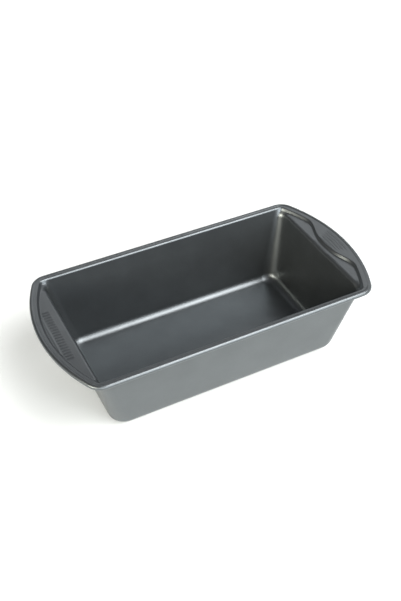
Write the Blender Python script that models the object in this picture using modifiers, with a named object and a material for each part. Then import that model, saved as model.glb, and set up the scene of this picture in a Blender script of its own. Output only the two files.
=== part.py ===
"""Loaf pan: one drawn sheet-steel shell whose edge is rolled round a wire.

Metres, +Z up.  The origin is the middle of the underside.  +X runs along the
pan to the handle that carries the thumb rest, and +Y runs across it.
"""

import math

import bpy
from mathutils import Vector

MM = 0.001

# Tub, measured on its inner faces
TUB_LENGTH = 235.0 * MM           # at the rim
TUB_WIDTH = 131.5 * MM            # at the rim
BASE_LENGTH = 208.6 * MM          # where the wall planes meet the underside
BASE_WIDTH = 107.8 * MM
RIM_CORNER = 7.0 * MM             # plan radius of the tub's corners at the rim
BASE_CORNER = 13.4 * MM           # and at the base
HEIGHT = 71.5 * MM                # underside to the top of the rolled edge
SHEET = 0.7 * MM

# Outline of the rolled edge, seen from above
RIM_WIDTH = 144.0 * MM            # over the two long sides
RIM_LENGTH = 284.4 * MM           # over the two handles
HANDLE_ARC = 139.6 * MM           # radius of a handle's curved end
OUTLINE_CORNER = 14.5 * MM

# Rolled edge and the wire inside it
BEAD_RADIUS = 2.2 * MM
BEAD_PROUD = 0.5 * MM             # the roll stands this far above the flange
BEAD_END = math.radians(-170.0)   # the sheet's free edge, leaving a drain slit
WIRE_RADIUS = 1.2 * MM
WIRE_BUTT_GAP = 1.0 * MM

# Handles: a panel pressed below the flange, with a raised border round it
PANEL_DROP = 3.2 * MM             # from the top of the roll to the panel
RISER_RUN = 1.6 * MM              # how far the riser leans
PLAIN_BORDER = 6.2 * MM           # border width of the -X handle
REST_BORDER = 7.3 * MM            # border width of the +X handle
REST_REACH = 12.0 * MM            # how far the thumb rest swells inwards
REST_HALF_WIDTH = 39.0 * MM
REST_FULLNESS = 1.3               # above 1, the swelling is blunter
POCKET_CORNER = 3.0 * MM          # rounding where the border meets a long side
PANEL_LEAST = 5.0 * MM            # least length from the riser to the wall

# Rounding, as the distance from a bend's theoretical corner to its tangent point
BASE_TANGENT = 7.4 * MM
PANEL_TANGENT = 2.7 * MM
RISER_FOOT_TANGENT = 0.6 * MM
BORDER_TANGENT = 0.7 * MM
LONG_SIDE_TANGENT = 1.6 * MM
PANEL_BEND_SHARE = 0.55           # a bend takes at most this share of a short panel
FOOT_BEND_SHARE = 0.3
EDGE_BEND_SHARE = 0.6             # and of a low riser

# Mesh density
SIDE_STEPS = 6
END_STEPS = 16
CORNER_STEPS = 7
BASE_BEND_STEPS = 6
PANEL_BEND_STEPS = 3
FOOT_BEND_STEPS = 2
EDGE_BEND_STEPS = 2
BEAD_STEPS = (1, 3, 3, 2)         # to the crest, outer side, bottom, free edge
WIRE_BEVEL_RESOLUTION = 2
CREASE_ANGLE = math.radians(50.0)
NEGLIGIBLE = 1e-6

FLANGE_Z = HEIGHT - BEAD_PROUD
PANEL_Z = HEIGHT - PANEL_DROP
BEAD_Z = HEIGHT - BEAD_RADIUS
ARC_CENTRE_X = RIM_LENGTH / 2 - HANDLE_ARC

# Name, colour, roughness, metallic
STEEL_COATING = ("Non-stick coated steel", (0.085, 0.088, 0.092, 1.0), 0.42, 0.75)
STEEL_WIRE = ("Galvanised wire", (0.45, 0.46, 0.47, 1.0), 0.38, 1.0)


def soft_minimum(a, b, blend):
    """The smaller of two lengths, rounded where they are nearly equal."""
    closeness = max(blend - abs(a - b), 0.0) / blend
    return min(a, b) - closeness * closeness * blend / 4


class Column:
    """One vertical cut through the pan, along a plan direction away from the tub."""

    def __init__(self, across, along, angle):
        top_x, top_y = TUB_LENGTH / 2 - RIM_CORNER, TUB_WIDTH / 2 - RIM_CORNER
        base_x, base_y = BASE_LENGTH / 2 - BASE_CORNER, BASE_WIDTH / 2 - BASE_CORNER
        self.out = Vector((math.cos(angle), math.sin(angle), 0.0))
        self.top = Vector((across * top_x, along * top_y, 0.0))
        self.base = Vector((across * base_x, along * base_y, 0.0))

    def wall(self, z):
        """The tub's inner wall at a height: straight between base and rim outlines."""
        share = z / HEIGHT
        core = self.base.lerp(self.top, share)
        radius = BASE_CORNER + (RIM_CORNER - BASE_CORNER) * share
        return core + self.out * radius + Vector((0.0, 0.0, z))

    def reach(self, centre, radius):
        """Distance from the column's core to a circle, measured outwards."""
        offset = self.top - centre
        along = offset.dot(self.out)
        return -along + math.sqrt(along * along - offset.length_squared + radius * radius)


def columns_round():
    """Columns in order round the pan, counter-clockwise from the middle of the +Y side."""
    half = SIDE_STEPS // 2
    columns = [Column(-i / half, 1.0, math.pi / 2) for i in range(half)]
    corners = ((-1.0, 1.0), (-1.0, -1.0), (1.0, -1.0), (1.0, 1.0))
    for turn, (sign_x, sign_y) in enumerate(corners):
        start = math.pi / 2 * (turn + 1)
        for i in range(CORNER_STEPS):
            angle = start + math.pi / 2 * i / CORNER_STEPS
            columns.append(Column(sign_x, sign_y, angle))
        finish = start + math.pi / 2
        if turn == 3:
            columns += [Column(1.0 - i / half, 1.0, finish) for i in range(half)]
        elif turn == 1:
            for i in range(SIDE_STEPS):
                columns.append(Column(-1.0 + 2.0 * i / SIDE_STEPS, -1.0, finish))
        else:
            for i in range(END_STEPS):
                columns.append(Column(sign_x, sign_y * (1.0 - 2.0 * i / END_STEPS), finish))
    return columns


def rim_outline(column):
    """Where a column meets the pan's outer outline, with the outline's normal there."""
    side = math.copysign(1.0, column.top.x)
    flank = math.copysign(1.0, column.top.y)
    inner_arc = HANDLE_ARC - OUTLINE_CORNER
    corner_y = RIM_WIDTH / 2 - OUTLINE_CORNER
    corner_x = ARC_CENTRE_X + math.sqrt(inner_arc ** 2 - corner_y ** 2)
    arc_centre = Vector((side * ARC_CENTRE_X, 0.0, 0.0))
    corner_centre = Vector((side * corner_x, flank * corner_y, 0.0))

    if abs(column.out.x) < NEGLIGIBLE:
        outline = Vector((column.top.x, flank * RIM_WIDTH / 2, 0.0))
        return outline, Vector((0.0, flank, 0.0))
    on_arc = column.top + column.out * column.reach(arc_centre, HANDLE_ARC)
    joint = (corner_centre - arc_centre).normalized()
    if abs(on_arc.y) <= abs(joint.y) * HANDLE_ARC:
        return on_arc, (on_arc - arc_centre).normalized()
    on_corner = column.top + column.out * column.reach(corner_centre, OUTLINE_CORNER)
    if abs(on_corner.x) >= corner_x:
        return on_corner, (on_corner - corner_centre).normalized()
    run = (flank * RIM_WIDTH / 2 - column.top.y) / column.out.y
    return column.top + column.out * run, Vector((0.0, flank, 0.0))


def border_reach(column):
    """Distance from the column's core to the inner edge of a handle's raised border."""
    side = math.copysign(1.0, column.out.x)
    border = REST_BORDER if side > 0 else PLAIN_BORDER
    arc_centre = Vector((side * ARC_CENTRE_X, 0.0, 0.0))
    reach = column.reach(arc_centre, HANDLE_ARC - border)
    if side > 0:
        from_middle = min(abs(column.top.y) / REST_HALF_WIDTH, 1.0)
        swell = 0.5 + 0.5 * math.cos(math.pi * from_middle ** REST_FULLNESS)
        reach -= REST_REACH * swell
    return reach


def pocket_corners(column):
    """Theoretical corners of one cut: flange edge, riser foot and wall edge."""
    flange_on_wall = column.wall(FLANGE_Z)
    foot_on_wall = column.wall(PANEL_Z)
    if abs(column.out.x) < NEGLIGIBLE:
        reach = (flange_on_wall - column.top).dot(column.out)
    elif abs(column.out.y) < NEGLIGIBLE:
        reach = border_reach(column)
    else:
        to_side = max(abs(flange_on_wall.y - column.top.y), RIM_CORNER) / abs(column.out.y)
        reach = soft_minimum(to_side, border_reach(column), POCKET_CORNER)
    edge = column.top + column.out * reach + Vector((0.0, 0.0, FLANGE_Z))
    panel = reach - RISER_RUN - (foot_on_wall - column.top).dot(column.out)
    panel = -soft_minimum(-panel, 0.0, RISER_RUN)
    foot = foot_on_wall + column.out * panel
    wall_edge = column.wall(PANEL_Z - max(PANEL_LEAST - panel, 0.0))
    return edge, foot, wall_edge


def rounded(before, corner, after, tangent, steps):
    """Points of the circular arc that rounds a corner, from one tangent point on."""
    back = (before - corner).normalized()
    ahead = (after - corner).normalized()
    weight = math.sqrt(max((1.0 - back.dot(ahead)) / 2, 0.0))
    points = []
    for i in range(steps + 1):
        t = i / steps
        a, b, c = (1 - t) ** 2, 2 * t * (1 - t) * weight, t * t
        shift = (back * a + ahead * c) * tangent / (a + b + c)
        points.append(corner + shift)
    return points


def bead_points(centre, normal):
    """The roll, from the groove beside the flange round to the sheet's free edge."""
    groove = math.pi - math.asin(1.0 - BEAD_PROUD / BEAD_RADIUS)
    stops = (groove, math.pi / 2, 0.0, -math.pi / 2, BEAD_END)
    angles = [groove]
    for start, finish, steps in zip(stops, stops[1:], BEAD_STEPS):
        angles += [start + (finish - start) * (i + 1) / steps for i in range(steps)]
    up = Vector((0.0, 0.0, 1.0))
    return [centre + (normal * math.cos(a) + up * math.sin(a)) * BEAD_RADIUS
            for a in angles]


def bead_centre(column):
    """The middle of the roll, where the wire runs, and the outline's normal."""
    outline, normal = rim_outline(column)
    return outline - normal * BEAD_RADIUS + Vector((0.0, 0.0, BEAD_Z)), normal


def section(column):
    """One cut through the cooking face, from the floor out to the sheet's free edge."""
    base = column.wall(SHEET)
    floor = base - column.out * BASE_TANGENT * 2
    edge, foot, wall_edge = pocket_corners(column)
    centre, normal = bead_centre(column)
    bead = bead_points(centre, normal)
    panel = (foot - wall_edge).length
    riser = (edge - foot).length
    lateral = abs(column.out.x)
    panel_tangent = min(PANEL_TANGENT, panel * PANEL_BEND_SHARE)
    foot_tangent = min(RISER_FOOT_TANGENT, panel * FOOT_BEND_SHARE)
    edge_tangent = LONG_SIDE_TANGENT + (BORDER_TANGENT - LONG_SIDE_TANGENT) * lateral
    edge_tangent = min(edge_tangent, riser * EDGE_BEND_SHARE)
    points = rounded(floor, base, wall_edge, BASE_TANGENT, BASE_BEND_STEPS)
    points += rounded(base, wall_edge, foot, panel_tangent, PANEL_BEND_STEPS)
    points += rounded(wall_edge, foot, edge, foot_tangent, FOOT_BEND_STEPS)
    points += rounded(foot, edge, bead[0], edge_tangent, EDGE_BEND_STEPS)
    return points + bead


def principled(name, colour, roughness, metallic):
    material = bpy.data.materials.new(name)
    material.use_nodes = True
    shader = material.node_tree.nodes["Principled BSDF"]
    shader.inputs["Base Color"].default_value = colour
    shader.inputs["Roughness"].default_value = roughness
    shader.inputs["Metallic"].default_value = metallic
    material.diffuse_color = colour
    return material


def add_part(name, data, collection, finish):
    part = bpy.data.objects.new(name, data)
    part.data.materials.append(principled(*finish))
    collection.objects.link(part)
    return part


def build_shell(columns, collection):
    """Loft the cooking face through every cut, then give it the sheet's thickness."""
    sections = [section(column) for column in columns]
    cuts, rings = len(sections), len(sections[0])
    vertices = [point for cut in sections for point in cut]
    faces = [[cut * rings for cut in range(cuts)]]
    for cut in range(cuts):
        here, there = cut * rings, (cut + 1) % cuts * rings
        for ring in range(rings - 1):
            faces.append((here + ring, here + ring + 1, there + ring + 1, there + ring))
    mesh = bpy.data.meshes.new("pan_shell")
    mesh.from_pydata(vertices, [], faces)
    mesh.shade_smooth()
    mesh.set_sharp_from_angle(angle=CREASE_ANGLE)
    shell = add_part("pan_shell", mesh, collection, STEEL_COATING)
    thickness = shell.modifiers.new("Sheet", "SOLIDIFY")
    thickness.thickness = SHEET
    thickness.offset = -1.0
    thickness.use_even_offset = True
    return shell


def build_wire(columns, collection):
    """The wire follows the middle of the roll and stops either side of a butt gap."""
    path = [bead_centre(column)[0] for column in columns]
    half_gap = Vector((WIRE_BUTT_GAP / 2, 0.0, 0.0))
    path = [path[0] - half_gap] + path[1:] + [path[0] + half_gap]
    curve = bpy.data.curves.new("rim_wire", "CURVE")
    curve.dimensions = "3D"
    curve.bevel_depth = WIRE_RADIUS
    curve.bevel_resolution = WIRE_BEVEL_RESOLUTION
    curve.use_fill_caps = True
    spline = curve.splines.new("POLY")
    spline.points.add(len(path) - 1)
    for point, place in zip(spline.points, path):
        point.co = (*place, 1.0)
    return add_part("rim_wire", curve, collection, STEEL_WIRE)


def main():
    for old in list(bpy.data.objects):
        bpy.data.objects.remove(old, do_unlink=True)
    collection = bpy.data.collections.new("Loaf pan")
    bpy.context.scene.collection.children.link(collection)
    columns = columns_round()
    build_shell(columns, collection)
    build_wire(columns, collection)


main()
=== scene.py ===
"""Loaf pan in dark coated steel, on a pale floor under soft studio lights."""
import math

import bpy
import numpy as np
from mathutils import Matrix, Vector


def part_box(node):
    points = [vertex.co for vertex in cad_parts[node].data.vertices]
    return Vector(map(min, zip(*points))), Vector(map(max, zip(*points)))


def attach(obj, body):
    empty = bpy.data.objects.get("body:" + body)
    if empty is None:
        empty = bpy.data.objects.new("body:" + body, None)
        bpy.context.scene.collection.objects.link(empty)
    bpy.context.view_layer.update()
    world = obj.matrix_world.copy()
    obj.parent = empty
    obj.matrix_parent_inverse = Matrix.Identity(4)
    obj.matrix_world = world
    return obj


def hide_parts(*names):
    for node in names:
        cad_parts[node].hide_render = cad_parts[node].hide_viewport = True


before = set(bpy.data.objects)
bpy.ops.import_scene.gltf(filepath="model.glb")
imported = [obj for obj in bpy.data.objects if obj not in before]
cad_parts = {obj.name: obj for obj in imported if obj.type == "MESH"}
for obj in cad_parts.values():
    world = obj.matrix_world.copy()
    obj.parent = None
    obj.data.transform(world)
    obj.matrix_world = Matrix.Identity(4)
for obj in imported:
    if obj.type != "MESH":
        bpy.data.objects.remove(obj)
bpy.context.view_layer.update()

MM = 0.001
SHELL_LOW, SHELL_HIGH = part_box("pan_shell")

# Tub, flange and handles: part.py's sizes
TUB_LENGTH = 235.0 * MM
TUB_WIDTH = 131.5 * MM
BASE_LENGTH = 208.6 * MM
BASE_WIDTH = 107.8 * MM
RIM_CORNER = 7.0 * MM
BASE_CORNER = 13.4 * MM
HEIGHT = SHELL_HIGH.z
SHEET = 0.7 * MM
RIM_WIDTH = SHELL_HIGH.y - SHELL_LOW.y
RIM_LENGTH = SHELL_HIGH.x - SHELL_LOW.x
HANDLE_ARC = 139.6 * MM
OUTLINE_CORNER = 14.5 * MM
BEAD_RADIUS = 2.2 * MM
BEAD_PROUD = 0.5 * MM
BEAD_END = math.radians(-170.0)
GROOVE_RADIUS = 0.8 * MM
WIRE_RADIUS = 1.2 * MM
WIRE_BUTT_GAP = 1.0 * MM
PANEL_DROP = 3.2 * MM
RISER_RUN = 1.6 * MM
PLAIN_BORDER = 6.2 * MM
REST_BORDER = 7.3 * MM
REST_REACH = 12.0 * MM
REST_HALF_WIDTH = 39.0 * MM
REST_FULLNESS = 1.3
POCKET_CORNER = 3.0 * MM
PANEL_LEAST = 5.0 * MM
BASE_TANGENT = 7.4 * MM
PANEL_TANGENT = 2.7 * MM
RISER_FOOT_TANGENT = 0.6 * MM
BORDER_TANGENT = 0.7 * MM
LONG_SIDE_TANGENT = 1.6 * MM
PANEL_BEND_SHARE = 0.55           # a bend takes at most this share of a short panel
FOOT_BEND_SHARE = 0.3
EDGE_BEND_SHARE = 0.6             # and of a low riser

FLANGE_Z = HEIGHT - BEAD_PROUD
PANEL_Z = HEIGHT - PANEL_DROP
BEAD_Z = HEIGHT - BEAD_RADIUS
ARC_CENTRE_X = RIM_LENGTH / 2 - HANDLE_ARC
UP = np.array((0.0, 0.0, 1.0))

# Plain ribs pressed into the handles
RIB_HEIGHT = 0.27 * MM
BAR_PITCH = 3.2 * MM
BAR_COUNT = 19
BAR_RADIUS = 1.05 * MM
BAR_HALF_LENGTH = 2.4 * MM
BAR_X = -127.0 * MM
LINE_X = -132.2 * MM
LINE_RADIUS = 0.8 * MM
LINE_HALF_LENGTH = 24.0 * MM
ARC_COUNT = 5
ARC_PITCH = 2.8 * MM
ARC_RADIUS = 1.1 * MM
ARC_HALF_LENGTH = 15.0 * MM
ARC_INSET = 6.5 * MM

# Mesh density: cuts round the pan, then rings along one cut
SIDE_CUTS = 30
CORNER_CUTS = 20
RIBBED_CUT = 0.4 * MM
PLAIN_CUT = 1.6 * MM
FLOOR_SHARES = (0.02, 0.5)
BASE_BEND_STEPS = 12
WALL_STEPS = 3
PANEL_BEND_STEPS = 7
PANEL_STEPS = 22
FOOT_BEND_STEPS = 5
RISER_STEPS = 2
EDGE_BEND_STEPS = 6
FLANGE_STEPS = 26
GROOVE_STEPS = 4
BEAD_STEPS = 26
WIRE_SIDES = 14
CREASE_ANGLE = math.radians(50.0)
NEGLIGIBLE = 1e-6

# Coating: sizes of its patterns, and how strongly each one shows
COATING_DARK = (0.120, 0.130, 0.135)
COATING_LIGHT = (0.148, 0.160, 0.166)
COATING_METALLIC = 0.87
COATING_ROUGHNESS = (0.31, 0.35)
GRAIN_SIZE = 0.35 * MM
GRAIN_SHARE = 0.5
CLOUD_SIZE = 24 * MM
CLOUD_SHARE = 0.5
WEAR_SIZE = 9 * MM
WEAR_SHARE = 0.6
WEAR_DEPTH = 0.5 * MM             # below the top of the roll, where the wear fades out
SMEAR_SIZE = 30 * MM
SPECK_SIZE = 0.8 * MM
SPECK_ROUGHNESS = 0.015
RIPPLE_SIZE = 7 * MM
RIPPLE_DEPTH = 0.02 * MM
PEEL_SIZE = 0.5 * MM
PEEL_DEPTH = 0.01 * MM
COATING_BUMP = 0.5

# Wire
WIRE_DARK = (0.36, 0.37, 0.38)
WIRE_LIGHT = (0.55, 0.56, 0.57)
WIRE_ROUGHNESS = (0.46, 0.3)
PATCH_SIZE = 4 * MM
PIT_SIZE = 0.3 * MM
PIT_DEPTH = 0.02 * MM
WIRE_BUMP = 0.4

NOISE_LOW = 0.3                   # most of a noise lies between these two
NOISE_HIGH = 0.7

# Studio: softboxes have a direction and an angular size in degrees, a radiance and a tint
WARM = (1.05, 1.0, 0.86)
NEUTRAL = (1.0, 1.0, 1.0)
COOL = (0.96, 1.0, 1.03)
ROOM = (0.10, 0.10, 0.11)
BACKDROP = (1.1, 1.1, 1.1)
FLOOR_SIZE = 7.0
FLOOR_GAP = 0.1 * MM
FLOOR_COLOUR = (0.80, 0.82, 0.81)
FLOOR_ROUGHNESS = 0.7
FLOOR_GLOW = 0.15
LIGHT_DISTANCE = 3.5
SOFTBOXES = (
    # name, azimuth, elevation, width, height, radiance, tint
    ("key", 310, 54, 48, 40, 4.5, NEUTRAL),
    ("key_core", 308, 52, 20, 22, 5.8, NEUTRAL),
    ("left_lamp", 200, 18, 38, 17, 14.5, WARM),
    ("front_low", 272, 20, 66, 26, 5.2, COOL),
    ("right_fill", 350, 30, 60, 40, 0.5, COOL),
    ("back_fill", 62, 37, 60, 18, 1.3, NEUTRAL),
)

# Camera: angles in degrees, the azimuth counter-clockwise from +X
CAMERA_AZIMUTH = 242.75
CAMERA_ELEVATION = 41.11
CAMERA_DISTANCE = 0.7982
CAMERA_TARGET = (0.0271, 0.0545, 0.0)
CAMERA_LENS = 50.73
CAMERA_NEAREST = 10 * MM


# ---------------------------------------------------------------- shell

class Cuts:
    """Vertical cuts through the pan, in order round it, one row of each array a cut."""

    def __init__(self, loop):
        across, along, angle = (np.array(values)[:, None] for values in zip(*loop))
        top = (TUB_LENGTH / 2 - RIM_CORNER, TUB_WIDTH / 2 - RIM_CORNER)
        base = (BASE_LENGTH / 2 - BASE_CORNER, BASE_WIDTH / 2 - BASE_CORNER)
        flat = np.zeros_like(angle)
        self.out = np.hstack((np.cos(angle), np.sin(angle), flat))
        self.out[np.abs(self.out) < NEGLIGIBLE] = 0.0
        self.top = np.hstack((across * top[0], along * top[1], flat))
        self.base = np.hstack((across * base[0], along * base[1], flat))

    def wall(self, z):
        """Points of the tub's inner wall at a height, one height or one per cut."""
        share = np.broadcast_to(np.asarray(z, float), (len(self.out),))[:, None] / HEIGHT
        core = self.base + (self.top - self.base) * share
        radius = BASE_CORNER + (RIM_CORNER - BASE_CORNER) * share
        return core + self.out * radius + UP * share * HEIGHT

    def reach(self, centre, radius):
        """Distance from each cut's core out to a circle."""
        offset = self.top - centre
        along = dot(offset, self.out)
        inside = along ** 2 - dot(offset, offset) + radius ** 2
        return -along + np.sqrt(np.maximum(inside, 0.0))


def dot(a, b):
    return np.sum(a * b, axis=1)


def unit(a):
    return a / np.linalg.norm(a, axis=1)[:, None]


def soft_minimum(a, b, blend):
    closeness = np.maximum(blend - np.abs(a - b), 0.0) / blend
    return np.minimum(a, b) - closeness ** 2 * blend / 4


def swell(share):
    """A smooth rounded rise: 1 at its middle, 0 at and beyond its edge."""
    return 0.5 + 0.5 * np.cos(math.pi * np.minimum(share, 1.0))


def loop_round():
    """Core position and direction of each cut, from the middle of the +Y side leftwards."""
    half = SIDE_CUTS // 2
    loop = [(-i / half, 1.0, math.pi / 2) for i in range(half)]
    for turn, (sign_x, sign_y) in enumerate(((-1, 1), (-1, -1), (1, -1), (1, 1))):
        start = math.pi / 2 * (turn + 1)
        finish = start + math.pi / 2
        for i in range(CORNER_CUTS):
            loop.append((sign_x, sign_y, start + (finish - start) * i / CORNER_CUTS))
        if turn == 3:
            loop += [(1.0 - i / half, 1.0, finish) for i in range(half)]
        elif turn == 1:
            loop += [(-1.0 + i / half, -1.0, finish) for i in range(SIDE_CUTS)]
        else:
            loop += [(sign_x, sign_y * share, finish) for share in end_shares(sign_x)[:-1]]
    return loop


def end_shares(side):
    """Cuts across a handle, from one side to the other, closer together at the bars."""
    edge = TUB_WIDTH / 2 - RIM_CORNER
    if side > 0:
        return np.linspace(1.0, -1.0, round(2 * edge / PLAIN_CUT) + 1)
    ribbed = BAR_PITCH * BAR_COUNT / 2
    outer = np.linspace(edge, ribbed, round((edge - ribbed) / PLAIN_CUT), endpoint=False)
    inner = np.linspace(ribbed, -ribbed, round(2 * ribbed / RIBBED_CUT) + 1)
    return np.concatenate((outer, inner, -outer[::-1])) / edge


def rim_outline(cuts):
    """Where each cut meets the pan's outer outline, and the outline's normal there."""
    side = np.where(cuts.top[:, 0] < 0, -1.0, 1.0)
    flank = np.where(cuts.top[:, 1] < 0, -1.0, 1.0)
    inner_arc = HANDLE_ARC - OUTLINE_CORNER
    corner_y = RIM_WIDTH / 2 - OUTLINE_CORNER
    corner_x = ARC_CENTRE_X + math.sqrt(inner_arc ** 2 - corner_y ** 2)
    zero = np.zeros_like(side)
    arc_centre = np.column_stack((side * ARC_CENTRE_X, zero, zero))
    corner_centre = np.column_stack((side * corner_x, flank * corner_y, zero))

    slant = np.maximum(np.abs(cuts.out[:, 1]), NEGLIGIBLE)
    points = cuts.top + cuts.out * ((RIM_WIDTH / 2 - np.abs(cuts.top[:, 1])) / slant)[:, None]
    normals = np.column_stack((zero, flank, zero))
    on_corner = cuts.top + cuts.out * cuts.reach(corner_centre, OUTLINE_CORNER)[:, None]
    use = np.abs(on_corner[:, 0]) >= corner_x
    points[use] = on_corner[use]
    normals[use] = unit(on_corner - corner_centre)[use]
    on_arc = cuts.top + cuts.out * cuts.reach(arc_centre, HANDLE_ARC)[:, None]
    use = np.abs(on_arc[:, 1]) <= corner_y / inner_arc * HANDLE_ARC
    use &= np.abs(cuts.out[:, 0]) > NEGLIGIBLE
    points[use] = on_arc[use]
    normals[use] = unit(on_arc - arc_centre)[use]
    return points, normals


def border_reach(cuts):
    """Distance from each cut's core to the inner edge of the handle's raised border."""
    side = np.where(cuts.out[:, 0] < 0, -1.0, 1.0)
    border = np.where(side > 0, REST_BORDER, PLAIN_BORDER)
    zero = np.zeros_like(side)
    arc_centre = np.column_stack((side * ARC_CENTRE_X, zero, zero))
    from_middle = np.minimum(np.abs(cuts.top[:, 1]) / REST_HALF_WIDTH, 1.0)
    rest = np.where(side > 0, REST_REACH * swell(from_middle ** REST_FULLNESS), 0.0)
    return cuts.reach(arc_centre, HANDLE_ARC - border) - rest


def pocket_corners(cuts):
    """Theoretical corners of each cut: flange edge, riser foot and wall edge."""
    flange_on_wall, foot_on_wall = cuts.wall(FLANGE_Z), cuts.wall(PANEL_Z)
    on_side = np.abs(cuts.out[:, 0]) < NEGLIGIBLE
    on_end = np.abs(cuts.out[:, 1]) < NEGLIGIBLE
    slant = np.maximum(np.abs(cuts.out[:, 1]), NEGLIGIBLE)
    long_side = np.maximum(np.abs(flange_on_wall[:, 1] - cuts.top[:, 1]), RIM_CORNER) / slant
    reach = soft_minimum(long_side, border_reach(cuts), POCKET_CORNER)
    reach = np.where(on_end, border_reach(cuts), reach)
    reach = np.where(on_side, dot(flange_on_wall - cuts.top, cuts.out), reach)
    edge = cuts.top + cuts.out * reach[:, None] + UP * FLANGE_Z
    panel = reach - RISER_RUN - dot(foot_on_wall - cuts.top, cuts.out)
    panel = -soft_minimum(-panel, np.zeros_like(panel), RISER_RUN)
    foot = foot_on_wall + cuts.out * panel[:, None]
    wall_edge = cuts.wall(PANEL_Z - np.maximum(PANEL_LEAST - panel, 0.0))
    return edge, foot, wall_edge


def rounded(before, corner, after, tangent, steps):
    """Rings of the circular arcs that round a corner of every cut."""
    back, ahead = unit(before - corner), unit(after - corner)
    weight = np.sqrt(np.maximum((1.0 - dot(back, ahead)) / 2, 0.0))[:, None]
    tangent = np.broadcast_to(np.asarray(tangent, float), (len(corner),))[:, None]
    rings = []
    for t in np.linspace(0.0, 1.0, steps + 1):
        a, b, c = (1 - t) ** 2, 2 * t * (1 - t) * weight, t * t
        rings.append(corner + (back * a + ahead * c) * tangent / (a + b + c))
    return rings


def straight(start, finish, steps):
    """Rings between two rings, leaving both out."""
    return [start + (finish - start) * i / steps for i in range(1, steps)]


def rib_relief(points):
    """Height of the plain ribs over the pressed handles, at each point."""
    x, y = points[..., 0], points[..., 1]
    last = (BAR_COUNT - 1) / 2
    nearest = np.clip(np.round(y / BAR_PITCH), -last, last) * BAR_PITCH
    past_end = np.maximum(np.abs(x - BAR_X) - BAR_HALF_LENGTH, 0.0)
    relief = swell(np.hypot(y - nearest, past_end) / BAR_RADIUS)
    past_end = np.maximum(np.abs(y) - LINE_HALF_LENGTH, 0.0)
    relief += swell(np.hypot(x - LINE_X, past_end) / LINE_RADIUS)
    radius = np.hypot(x - ARC_CENTRE_X, y)
    for i in range(ARC_COUNT):
        arc = HANDLE_ARC - ARC_INSET - i * ARC_PITCH
        half_length = ARC_HALF_LENGTH * (1.0 - i / (2 * ARC_COUNT))
        past_end = np.maximum(np.abs(y) - half_length, 0.0)
        relief += np.where(x > 0, swell(np.hypot(radius - arc, past_end) / ARC_RADIUS), 0.0)
    return relief * RIB_HEIGHT


def bead_rings(centre, normal):
    """The groove beside the flange, then the roll round to the sheet's free edge."""
    rise = FLANGE_Z + GROOVE_RADIUS - BEAD_Z
    inset = math.sqrt((BEAD_RADIUS + GROOVE_RADIUS) ** 2 - rise ** 2)
    meet = math.atan2(rise, -inset)
    groove_centre = centre - normal * inset + UP * rise
    rings = []
    for angle in np.linspace(-math.pi / 2, meet - math.pi, GROOVE_STEPS + 1):
        rings.append(groove_centre + (normal * math.cos(angle) + UP * math.sin(angle)) * GROOVE_RADIUS)
    for angle in np.linspace(meet, BEAD_END, BEAD_STEPS + 1)[1:]:
        rings.append(centre + (normal * math.cos(angle) + UP * math.sin(angle)) * BEAD_RADIUS)
    return rings


def bead_centre(cuts):
    outline, normal = rim_outline(cuts)
    return outline - normal * BEAD_RADIUS + UP * BEAD_Z, normal


def shell_rings(cuts):
    base = cuts.wall(SHEET)
    inner_floor = base - cuts.out * BASE_TANGENT * 2
    edge, foot, wall_edge = pocket_corners(cuts)
    centre, normal = bead_centre(cuts)
    bead = bead_rings(centre, normal)
    panel = np.linalg.norm(foot - wall_edge, axis=1)
    riser = np.linalg.norm(edge - foot, axis=1)
    lateral = np.abs(cuts.out[:, 0])
    panel_tangent = np.minimum(PANEL_TANGENT, panel * PANEL_BEND_SHARE)
    foot_tangent = np.minimum(RISER_FOOT_TANGENT, panel * FOOT_BEND_SHARE)
    edge_tangent = LONG_SIDE_TANGENT + (BORDER_TANGENT - LONG_SIDE_TANGENT) * lateral
    edge_tangent = np.minimum(edge_tangent, riser * EDGE_BEND_SHARE)

    base_arc = rounded(inner_floor, base, wall_edge, BASE_TANGENT, BASE_BEND_STEPS)
    wall_arc = rounded(base, wall_edge, foot, panel_tangent, PANEL_BEND_STEPS)
    foot_arc = rounded(wall_edge, foot, edge, foot_tangent, FOOT_BEND_STEPS)
    edge_arc = rounded(foot, edge, bead[0], edge_tangent, EDGE_BEND_STEPS)
    rings = [base_arc[0] * (share, share, 1.0) for share in FLOOR_SHARES]
    rings += base_arc + straight(base_arc[-1], wall_arc[0], WALL_STEPS)
    rings += wall_arc + straight(wall_arc[-1], foot_arc[0], PANEL_STEPS)
    rings += foot_arc + straight(foot_arc[-1], edge_arc[0], RISER_STEPS)
    rings += edge_arc + straight(edge_arc[-1], bead[0], FLANGE_STEPS) + bead
    rings = np.array(rings)
    rings[..., 2] += rib_relief(rings)
    return rings


def loft(name, rings, caps):
    """An object through closed rings of points; caps are the end rings to fill."""
    count, around = rings.shape[:2]
    ring = np.arange(count - 1)[:, None] * around
    here = np.arange(around)[None, :]
    there = (here + 1) % around
    quads = np.stack((ring + here, ring + around + here, ring + around + there, ring + there),
                     axis=-1).reshape(-1, 4)
    mesh = bpy.data.meshes.new(name)
    mesh.from_pydata(rings.reshape(-1, 3).tolist(), [], quads.tolist() + caps)
    piece = bpy.data.objects.new(name, mesh)
    bpy.context.scene.collection.objects.link(piece)
    return piece


def smooth(piece):
    piece.data.shade_smooth()
    piece.data.set_sharp_from_angle(angle=CREASE_ANGLE)
    return piece


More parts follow.
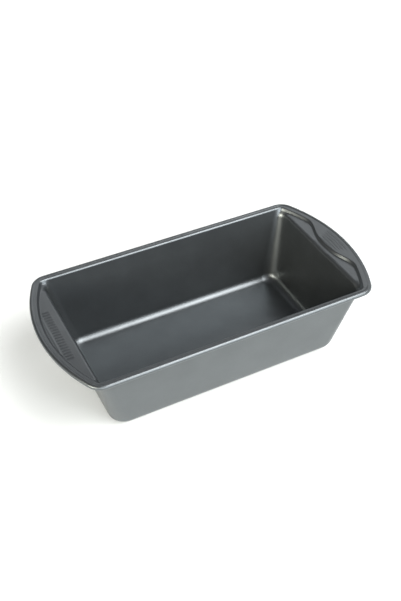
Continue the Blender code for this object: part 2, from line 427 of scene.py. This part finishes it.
def build_shell(cuts):
    """The cooking face through every cut, given the sheet's thickness on its underside."""
    rings = shell_rings(cuts)
    shell = loft("coated_shell", rings, [list(range(rings.shape[1]))])
    thickness = shell.modifiers.new("Sheet", "SOLIDIFY")
    thickness.thickness = SHEET
    thickness.offset = -1.0
    thickness.use_even_offset = True
    thickness.use_quality_normals = True
    solid = bpy.data.meshes.new_from_object(
        shell.evaluated_get(bpy.context.evaluated_depsgraph_get()))
    shell.modifiers.clear()
    shell.data = solid
    return smooth(shell)


def build_wire(cuts):
    """The wire inside the rolled edge, one smooth loop with its butt gap."""
    path, normal = bead_centre(cuts)
    half_gap = np.array((WIRE_BUTT_GAP / 2, 0.0, 0.0))
    path = np.vstack((path[0] - half_gap, path[1:], path[0] + half_gap))
    normal = np.vstack((normal, normal[0]))
    turns = np.linspace(0.0, 2 * math.pi, WIRE_SIDES, endpoint=False)
    rings = np.stack([path + (normal * math.cos(turn) + UP * math.sin(turn)) * WIRE_RADIUS
                      for turn in turns], axis=1)
    start = list(range(WIRE_SIDES))
    finish = [(len(path) - 1) * WIRE_SIDES + i for i in reversed(start)]
    return smooth(loft("drawn_wire", rings, [start, finish]))


# ---------------------------------------------------------------- materials

class Nodes:
    """A material's node tree, with short calls for the nodes used here."""

    def __init__(self, name):
        self.material = bpy.data.materials.new(name)
        self.material.use_nodes = True
        self.tree = self.material.node_tree
        self.shader = self.tree.nodes["Principled BSDF"]
        self.place = self.add("ShaderNodeTexCoord").outputs["Object"]

    def add(self, kind, **inputs):
        node = self.tree.nodes.new(kind)
        for name, value in inputs.items():
            self.feed(node.inputs[name.replace("_", " ")], value)
        return node

    def feed(self, socket, value):
        """Set a socket to a number or colour, or link another node's output to it."""
        if isinstance(value, bpy.types.NodeSocket):
            self.tree.links.new(value, socket)
        else:
            socket.default_value = value

    def noise(self, size, detail=2.0, roughness=0.5):
        """Noise with features of about a size in metres, around one half."""
        node = self.add("ShaderNodeTexNoise", Vector=self.place, Scale=1.0 / size,
                        Detail=detail, Roughness=roughness)
        return node.outputs["Fac"]

    def grains(self, size):
        """A random grey for each grain of about a size in metres."""
        node = self.add("ShaderNodeTexVoronoi", Vector=self.place, Scale=1.0 / size)
        return node.outputs["Color"]

    def spread(self, value, low, high, start=NOISE_LOW, finish=NOISE_HIGH):
        """A value between start and finish, spread over low to high."""
        node = self.add("ShaderNodeMapRange", Value=value)
        node.inputs["From Min"].default_value = start
        node.inputs["From Max"].default_value = finish
        node.inputs["To Min"].default_value = low
        node.inputs["To Max"].default_value = high
        return node.outputs["Result"]

    def calculate(self, operation, first, second):
        node = self.tree.nodes.new("ShaderNodeMath")
        node.operation = operation
        self.feed(node.inputs[0], first)
        self.feed(node.inputs[1], second)
        return node.outputs["Value"]

    def tone(self, share, dark, light):
        """A colour from dark to light."""
        node = self.tree.nodes.new("ShaderNodeMix")
        node.data_type = "RGBA"
        self.tree.links.new(share, node.inputs["Factor"])
        node.inputs["A"].default_value = (*dark, 1.0)
        node.inputs["B"].default_value = (*light, 1.0)
        return node.outputs["Result"]

    def bump(self, height, distance, strength, under=None):
        node = self.add("ShaderNodeBump", Height=height, Distance=distance, Strength=strength)
        if under is not None:
            self.tree.links.new(under, node.inputs["Normal"])
        return node.outputs["Normal"]


def coated_steel():
    """Grey non-stick coating: fine metallic grains in a satin film, worn lighter on the roll."""
    nodes = Nodes("coating")
    shader = nodes.shader.inputs
    height = nodes.add("ShaderNodeSeparateXYZ", Vector=nodes.place).outputs["Z"]
    crest = nodes.spread(height, 0.0, 1.0, HEIGHT - WEAR_DEPTH, HEIGHT)
    wear = nodes.calculate("MULTIPLY", crest, nodes.spread(nodes.noise(WEAR_SIZE, 4.0), 0.0, 1.0))
    grains = nodes.calculate("MULTIPLY", nodes.grains(GRAIN_SIZE), GRAIN_SHARE)
    clouds = nodes.spread(nodes.noise(CLOUD_SIZE, 3.0), 0.0, 1.0)
    clouds = nodes.calculate("MULTIPLY", clouds, CLOUD_SHARE)
    share = nodes.calculate("ADD", grains, clouds)
    share = nodes.calculate("ADD", share, nodes.calculate("MULTIPLY", wear, WEAR_SHARE))
    nodes.feed(shader["Base Color"], nodes.tone(share, COATING_DARK, COATING_LIGHT))
    shader["Metallic"].default_value = COATING_METALLIC
    smears = nodes.spread(nodes.noise(SMEAR_SIZE, 5.0, 0.6), *COATING_ROUGHNESS)
    specks = nodes.spread(nodes.noise(SPECK_SIZE), -SPECK_ROUGHNESS, SPECK_ROUGHNESS)
    nodes.feed(shader["Roughness"], nodes.calculate("ADD", smears, specks))
    ripple = nodes.bump(nodes.noise(RIPPLE_SIZE, 1.0), RIPPLE_DEPTH, COATING_BUMP)
    peel = nodes.bump(nodes.noise(PEEL_SIZE), PEEL_DEPTH, COATING_BUMP, ripple)
    nodes.feed(shader["Normal"], peel)
    return nodes.material


def wire_steel():
    """Zinc-plated wire with fine pits and dull patches."""
    nodes = Nodes("drawn wire")
    shader = nodes.shader.inputs
    patches = nodes.spread(nodes.noise(PATCH_SIZE, 4.0), 0.0, 1.0)
    nodes.feed(shader["Base Color"], nodes.tone(patches, WIRE_DARK, WIRE_LIGHT))
    shader["Metallic"].default_value = 1.0
    nodes.feed(shader["Roughness"], nodes.spread(patches, *WIRE_ROUGHNESS, 0.0, 1.0))
    nodes.feed(shader["Normal"], nodes.bump(nodes.noise(PIT_SIZE), PIT_DEPTH, WIRE_BUMP))
    return nodes.material


def finish_piece(piece, node, material):
    piece.data.materials.clear()
    piece.data.materials.append(material)
    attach(piece, "root")
    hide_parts(node)


# ---------------------------------------------------------------- studio

def floor_plane():
    """A white table that glows a little from within, so that shadows on it stay light."""
    bpy.ops.mesh.primitive_plane_add(size=FLOOR_SIZE, location=(0.0, 0.0, -FLOOR_GAP))
    floor = bpy.context.object
    floor.name = "floor"
    material = bpy.data.materials.new("floor")
    material.use_nodes = True
    shader = material.node_tree.nodes["Principled BSDF"].inputs
    shader["Base Color"].default_value = (*FLOOR_COLOUR, 1.0)
    shader["Roughness"].default_value = FLOOR_ROUGHNESS
    shader["Specular IOR Level"].default_value = 0.0
    shader["Emission Color"].default_value = (1.0, 1.0, 1.0, 1.0)
    shader["Emission Strength"].default_value = FLOOR_GLOW
    floor.data.materials.append(material)


def direction(azimuth, elevation):
    """Unit vector at angles in degrees, the azimuth counter-clockwise from +X."""
    level = math.cos(math.radians(elevation))
    return Vector((level * math.cos(math.radians(azimuth)),
                   level * math.sin(math.radians(azimuth)),
                   math.sin(math.radians(elevation))))


def softbox(name, azimuth, elevation, width, height, radiance, tint):
    """A soft light seen from the pan at a direction and angular size, all in degrees."""
    light = bpy.data.lights.new(name, "AREA")
    light.shape = "RECTANGLE"
    light.size = 2 * LIGHT_DISTANCE * math.tan(math.radians(width / 2))
    light.size_y = 2 * LIGHT_DISTANCE * math.tan(math.radians(height / 2))
    light.energy = radiance * math.pi * light.size * light.size_y
    light.color = tint
    lamp = bpy.data.objects.new(name, light)
    bpy.context.scene.collection.objects.link(lamp)
    lamp.visible_camera = False
    towards = direction(azimuth, elevation)
    lamp.location = towards * LIGHT_DISTANCE
    lamp.rotation_euler = towards.to_track_quat("Z", "Y").to_euler()


def surroundings():
    """A dim room for the reflections, and a white one behind the pan."""
    world = bpy.data.worlds.new("studio")
    world.use_nodes = True
    nodes = world.node_tree.nodes
    links = world.node_tree.links
    room = nodes["Background"]
    room.inputs["Color"].default_value = (*ROOM, 1.0)
    white = nodes.new("ShaderNodeBackground")
    white.inputs["Color"].default_value = (*BACKDROP, 1.0)
    seen = nodes.new("ShaderNodeLightPath")
    choice = nodes.new("ShaderNodeMixShader")
    links.new(seen.outputs["Is Camera Ray"], choice.inputs["Fac"])
    links.new(room.outputs["Background"], choice.inputs[1])
    links.new(white.outputs["Background"], choice.inputs[2])
    links.new(choice.outputs["Shader"], nodes["World Output"].inputs["Surface"])
    bpy.context.scene.world = world


def camera():
    data = bpy.data.cameras.new("camera")
    data.lens = CAMERA_LENS
    data.clip_start = CAMERA_NEAREST
    eye = bpy.data.objects.new("camera", data)
    bpy.context.scene.collection.objects.link(eye)
    back = direction(CAMERA_AZIMUTH, CAMERA_ELEVATION)
    eye.location = Vector(CAMERA_TARGET) + back * CAMERA_DISTANCE
    eye.rotation_euler = back.to_track_quat("Z", "Y").to_euler()
    bpy.context.scene.camera = eye


def studio():
    surroundings()
    for settings in SOFTBOXES:
        softbox(*settings)
    floor_plane()
    camera()
    bpy.context.scene.view_settings.view_transform = "Standard"


studio()
cuts = Cuts(loop_round())
finish_piece(build_shell(cuts), "pan_shell", coated_steel())
finish_piece(build_wire(cuts), "rim_wire", wire_steel())
